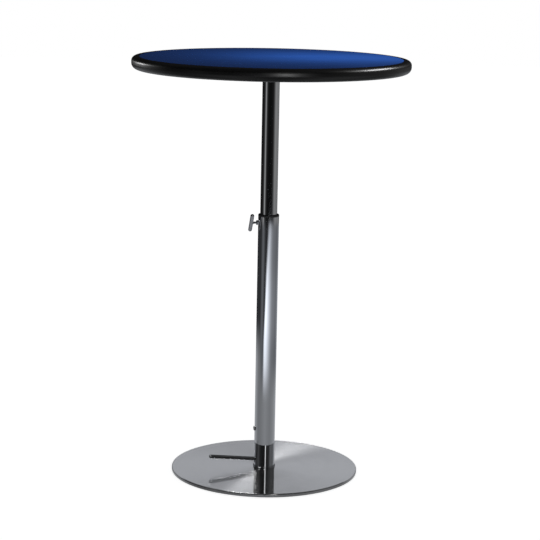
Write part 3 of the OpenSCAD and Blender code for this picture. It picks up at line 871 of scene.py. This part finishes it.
# ---------------------------------------------------------------- column screw
ts_lo, ts_hi = size("tube_screw")
head_pts = [(0, -3.7), (2.6, -3.7)]
for k in range(1, 10):
    a = k / 9
    head_pts.append((2.6 + 3.7 * math.sin(a * math.pi / 2), -3.7 + 3.3 * (1 - math.cos(a * math.pi / 2))))
head_pts += [(6.3, -0.1), (6.2, 0.0), (3.0, 0.0), (3.0, 8.4), (2.5, 9.0), (0, 9.0)]
head = lathe("column_button_screw", head_pts, M["zinc"], 72, closed=False)
key = prism("t", 6, 2.3, -6, -1.6, M["zinc"])
cut(head, [key])
head.data.shade_smooth()
head.data.set_sharp_from_angle(angle=math.radians(30))
place(head, Matrix.Translation((-27 * MM, 0, 114.5 * MM)) @ ALONG_X)
stand_for(head, "base", "zinc", "tube_screw")

# ---------------------------------------------------------------- camera
AZ = math.radians(-16.0)
CAM_D, CAM_H, PITCH, YAW, ROLL, FOCAL = 4.6708, 1.4382, 0.1904, 0.0013, 0.0190, 1832.8
turn = Matrix.Rotation(AZ, 3, "Z")
fwd = Vector((math.sin(YAW) * math.cos(PITCH), math.cos(YAW) * math.cos(PITCH), -math.sin(PITCH)))
right = Vector((math.cos(YAW), -math.sin(YAW), 0))
up = right.cross(fwd)
r2 = right * math.cos(ROLL) + up * math.sin(ROLL)
u2 = -right * math.sin(ROLL) + up * math.cos(ROLL)
rot = Matrix((turn @ r2, turn @ u2, turn @ -fwd)).transposed()
cam_data = bpy.data.cameras.new("camera")
cam = bpy.data.objects.new("camera", cam_data)
scene.collection.objects.link(cam)
cam_data.sensor_fit = "HORIZONTAL"
cam_data.sensor_width = 36.0
cam_data.lens = FOCAL / 540.0 * 36.0
cam_data.clip_start, cam_data.clip_end = 0.1, 100.0
cam.matrix_world = Matrix.Translation(turn @ Vector((0, -CAM_D, CAM_H))) @ rot.to_4x4()
scene.camera = cam

# ---------------------------------------------------------------- studio
TOWARD = turn @ Vector((0, -1, 0))       # from the table towards the camera, level
RIGHT = turn @ Vector((1, 0, 0))


def aim(alpha, elev):
    """A direction from the table: alpha turns from the camera towards picture right, elev is above level."""
    a, e = math.radians(alpha), math.radians(elev)
    return (TOWARD * math.cos(a) + RIGHT * math.sin(a)) * math.cos(e) + Vector((0, 0, 1)) * math.sin(e)


def softbox(name, alpha, elev, dist, w, h, power, target=(0, 0, 0.55), spread=180):
    d = bpy.data.lights.new(name, "AREA")
    d.shape, d.size, d.size_y, d.energy = "RECTANGLE", w, h, power
    d.spread = math.radians(spread)
    o = bpy.data.objects.new(name, d)
    scene.collection.objects.link(o)
    t = Vector(target)
    v = aim(alpha, elev)
    o.location = t + v * dist
    o.rotation_mode = "QUATERNION"
    o.rotation_quaternion = v.to_track_quat("Z", "Y")
    o.visible_camera = False
    return o


def linked(name, *objs):
    c = bpy.data.collections.new(name)
    for o in objs:
        c.objects.link(o)
    return c


ON_METAL = linked("lit_metal", bpy.data.objects["column_trim_ring"], bar, neck, screw, nut, rod, ring, head)
ON_BASE = linked("lit_base", cover)
ON_BAND = linked("lit_band", band)

KEY = softbox("key_overhead_left", -98, 62, 2.6, 0.75, 0.75, 30, target=(0, 0, 0.3))
BACK = softbox("back_softbox", -172.5, 45, 2.6, 0.34, 0.60, 0.15, target=-TOWARD * 0.20, spread=16)
FACE = softbox("face_softbox", 2, 12, 2.4, 0.5, 0.5, 1.8, target=(0, 0, 0.3))
FILL = softbox("fill_overhead_right", 98, 62, 2.8, 0.35, 0.9, 4, target=(0, 0, 0.3))
LEFT = softbox("left_back_softbox", -128.5, 3.4, 1.2, 0.36, 0.14, 2.8, target=RIGHT * -0.355 + TOWARD * 0.03 + Vector((0, 0, 1.07)))
RIGHTBOX = softbox("right_softbox", 100, 28.5, 3.0, 1.6, 0.50, 100, target=(0, 0, 1.05))
FRONT = softbox("front_softbox", 11, -3.5, 1.9, 0.30, 0.18, 4.2, target=(0, 0, 1.08))
for o in (KEY, FILL, BACK, FACE, LEFT, RIGHTBOX, FRONT):
    o.visible_diffuse = False
for o in (KEY, FILL, FACE):
    o.light_linking.receiver_collection = ON_METAL
BACK.light_linking.receiver_collection = ON_BASE
for o in (LEFT, RIGHTBOX, FRONT):
    o.light_linking.receiver_collection = ON_BAND

# a lamp close over the back right of the top: it lights the laminate, and isn't mirrored in the metal
LAMP = softbox("top_lamp", 0, 90, 0.24, 0.5, 0.10, 1.30, target=RIGHT * 0.20 - TOWARD * 0.06 + Vector((0, 0, 1.087)))
LAMP.rotation_quaternion = Matrix.Rotation(AZ, 3, "Z").to_quaternion()
LAMP.visible_glossy = False
LAMP.light_linking.receiver_collection = linked("lit_top", sheet)

# a low ring of four panels, mirrored only in the brushed base: bright behind, dim at the sides
for a, level in ((150, 0.45), (-150, 0.43), (90, 0.11), (-90, 0.03)):
    d = 2.0
    z0, z1 = d * math.tan(math.radians(8.5)), d * math.tan(math.radians(33))
    w = 2 * d * math.tan(math.radians(30))
    light = bpy.data.lights.new("low_panel", "AREA")
    light.shape, light.size, light.size_y = "RECTANGLE", w, z1 - z0
    light.color = (0.975, 1.0, 1.06)
    light.energy = level * math.pi * w * (z1 - z0)
    o = bpy.data.objects.new("low_panel_%d" % (a % 360), light)
    scene.collection.objects.link(o)
    v = aim(a, 0)
    o.location = v * d + Vector((0, 0, (z0 + z1) / 2))
    o.rotation_mode = "QUATERNION"
    o.rotation_quaternion = v.to_track_quat("Z", "Y")
    o.visible_camera = False
    o.visible_diffuse = False
    o.light_linking.receiver_collection = ON_BASE


def build_world():
    w = bpy.data.worlds.new("studio")
    scene.world = w
    w.use_nodes = True
    w.cycles.sampling_method = "NONE"
    g = Nodes(w.node_tree)
    out = g.new("ShaderNodeOutputWorld")
    bg = g.new("ShaderNodeBackground")
    w.node_tree.links.new(bg.outputs[0], out.inputs["Surface"])
    d = g.new("ShaderNodeTexCoord").outputs["Generated"]
    u = g.vmath("NORMALIZE", d)
    x, y, z = g.xyz(u)
    fwd_ = g.vmath("DOT_PRODUCT", u, tuple(TOWARD))
    side = g.vmath("DOT_PRODUCT", u, tuple(RIGHT))
    alpha = g.math("ARCTAN2", side, fwd_)                         # -pi..pi, 0 towards the camera
    t = g.math("ADD", g.math("MULTIPLY", alpha, 1 / tau), 0.5)    # 0..1, 0.5 towards the camera
    el = g.math("MULTIPLY", g.math("ARCSINE", z), 180 / math.pi)

    def at(deg):
        return deg / 360.0 + 0.5

    # far floor and walls, just below level
    far = g.ramp(t, [(0.0, 0.03), (at(-128), 0.012), (at(-100), 0.012), (at(-84), 0.03), (at(-72), 0.13), (at(-62), 0.46),
                     (at(-53), 0.15), (at(-44), 0.04), (at(-30), 0.010), (at(0), 0.006), (at(34), 0.012), (at(46), 0.035),
                     (at(55), 0.10), (at(65), 0.21), (at(77), 0.30), (at(90), 0.27), (at(104), 0.24), (at(128), 0.27),
                     (at(152), 0.10), (1.0, 0.03)])
    # the lit floor in front of the table, whose left end slants away from it
    lit = g.ramp(t, [(0.0, 0.04), (at(-128), 0.04), (at(-100), 0.03), (at(-70), 0.10), (at(-57), 0.15), (at(-46), 0.13),
                     (at(-40), 0.9), (at(-22), 1.60), (at(-4), 1.45), (at(9), 1.12), (at(23), 0.78), (at(34), 0.54),
                     (at(47), 0.35), (at(65), 0.26), (at(85), 0.24), (at(106), 0.19), (at(128), 0.26), (1.0, 0.45)])
    dim = g.ramp(t, [(0.0, 0.04), (at(-128), 0.03), (at(-106), 0.04), (at(-84), 0.03), (at(-70), 0.09), (at(-57), 0.16),
                     (at(-45), 0.12), (at(-34), 0.05), (at(-20), 0.03), (at(0), 0.02), (at(60), 0.2), (1.0, 0.3)])
    deg = g.math("MULTIPLY", alpha, 180 / math.pi)
    edge = g.math("ADD", g.math("ADD", g.span(el, -11.0, -9.6, -11.0, 9.0), g.span(el, -12.2, -11.0, -9.0, 0.0)),
                  g.span(el, -13.2, -12.2, -10.0, 0.0))
    half = g.math("ADD", g.span(el, -12.0, -9.6, 8.0, 19.0), g.span(el, -14.2, -12.2, 6.0, 0.0))
    fade = g.span(g.math("ABSOLUTE", g.math("ADD", el, 12.1)), 0.3, 1.7, 1.0, 0.78, True)
    lit = g.mix(1.0, lit, g.math("MULTIPLY", fade, 1.06), "MULTIPLY")
    mask = g.span(deg, g.math("SUBTRACT", edge, half), g.math("ADD", edge, half), 0, 1, True)
    lit = g.mix(mask, dim, lit)
    near = g.ramp(t, [(0.0, 0.48), (at(-135), 0.44), (at(-114), 0.38), (at(-95), 0.26), (at(-75), 0.22), (at(-50), 0.24), (at(0), 0.31), (at(55), 0.25),
                      (at(95), 0.31), (at(130), 0.42), (1.0, 0.52)])
    # above level: dark studio with pale grey panels
    low_sky = g.ramp(t, [(0.0, 0.012), (at(-150), 0.015), (at(-100), 0.025), (at(-76), 0.045), (at(-66), 0.07), (at(-55), 0.035),
                         (at(-30), 0.012), (at(7), 0.012), (at(10), 1.5), (at(15.0), 1.5), (at(18), 0.035), (at(27), 0.018),
                         (at(50), 0.045), (at(75), 0.065), (at(110), 0.08), (at(150), 0.04), (1.0, 0.012)])
    high = 0.10
    early = g.math("ADD", el, g.span(deg, -74.0, -58.0, -1.2, 0.0, True))
    lit = g.mix(1.0, lit, (0.96, 1.0, 1.075), "MULTIPLY")
    # the floor close by, seen from above: broad pale and grey patches
    low = g.ramp(t, [(0.0, 0.40), (at(-152), 0.62), (at(-128), 0.34), (at(-104), 0.12), (at(-82), 0.15), (at(-60), 0.40),
                     (at(-38), 0.62), (at(-14), 0.34), (at(6), 0.13), (at(26), 0.20), (at(47), 0.50), (at(70), 0.72),
                     (at(94), 0.40), (at(114), 0.14), (at(136), 0.20), (at(160), 0.44), (1.0, 0.40)])
    near = g.mix(g.span(el, -26.0, -18.0, 1, 0, True), near, low)
    near = g.mix(1.0, near, (0.975, 1.0, 1.04), "MULTIPLY")
    c = g.mix(g.span(early, -15.1, -13.5, 0, 1, True), near, lit)
    c = g.mix(g.span(el, -9.56, -9.38, 0, 1, True), c, far)
    c = g.mix(g.span(el, -2.5, 1.0, 0, 1, True), c, low_sky)
    c = g.mix(g.span(el, 26.0, 50.0, 0, 1, True), c, (high, high, high * 1.02))
    lp = g.new("ShaderNodeLightPath")
    c = g.mix(lp.outputs["Is Diffuse Ray"], c, (0.20, 0.205, 0.21))
    c = g.mix(lp.outputs["Is Camera Ray"], c, (1.0, 1.0, 1.0))
    g.put(bg.inputs["Color"], c)
    bg.inputs["Strength"].default_value = 1.0


build_world()

# pale floor
bm = bmesh.new()
vs = [bm.verts.new((14 * math.cos(tau * k / 96), 14 * math.sin(tau * k / 96), -0.0002)) for k in range(96)]
bm.faces.new(vs)
fm, fg, fp = material("pale_floor", ior=1.4, specular=0.1)
fn = fg.noise(fg.coords(), 3.0, 3.0, 0.5)
pale = fg.mix(fg.span(fn, 0.3, 0.7, 0, 1), (0.93, 0.93, 0.93), (0.945, 0.945, 0.945))
surface(fg, fp, pale, 0.9)
fg.put(fp.inputs["Emission Color"], pale)
fp.inputs["Emission Strength"].default_value = 0.90
floor = to_object("floor", bm, fm, smooth=False)
floor.visible_glossy = False
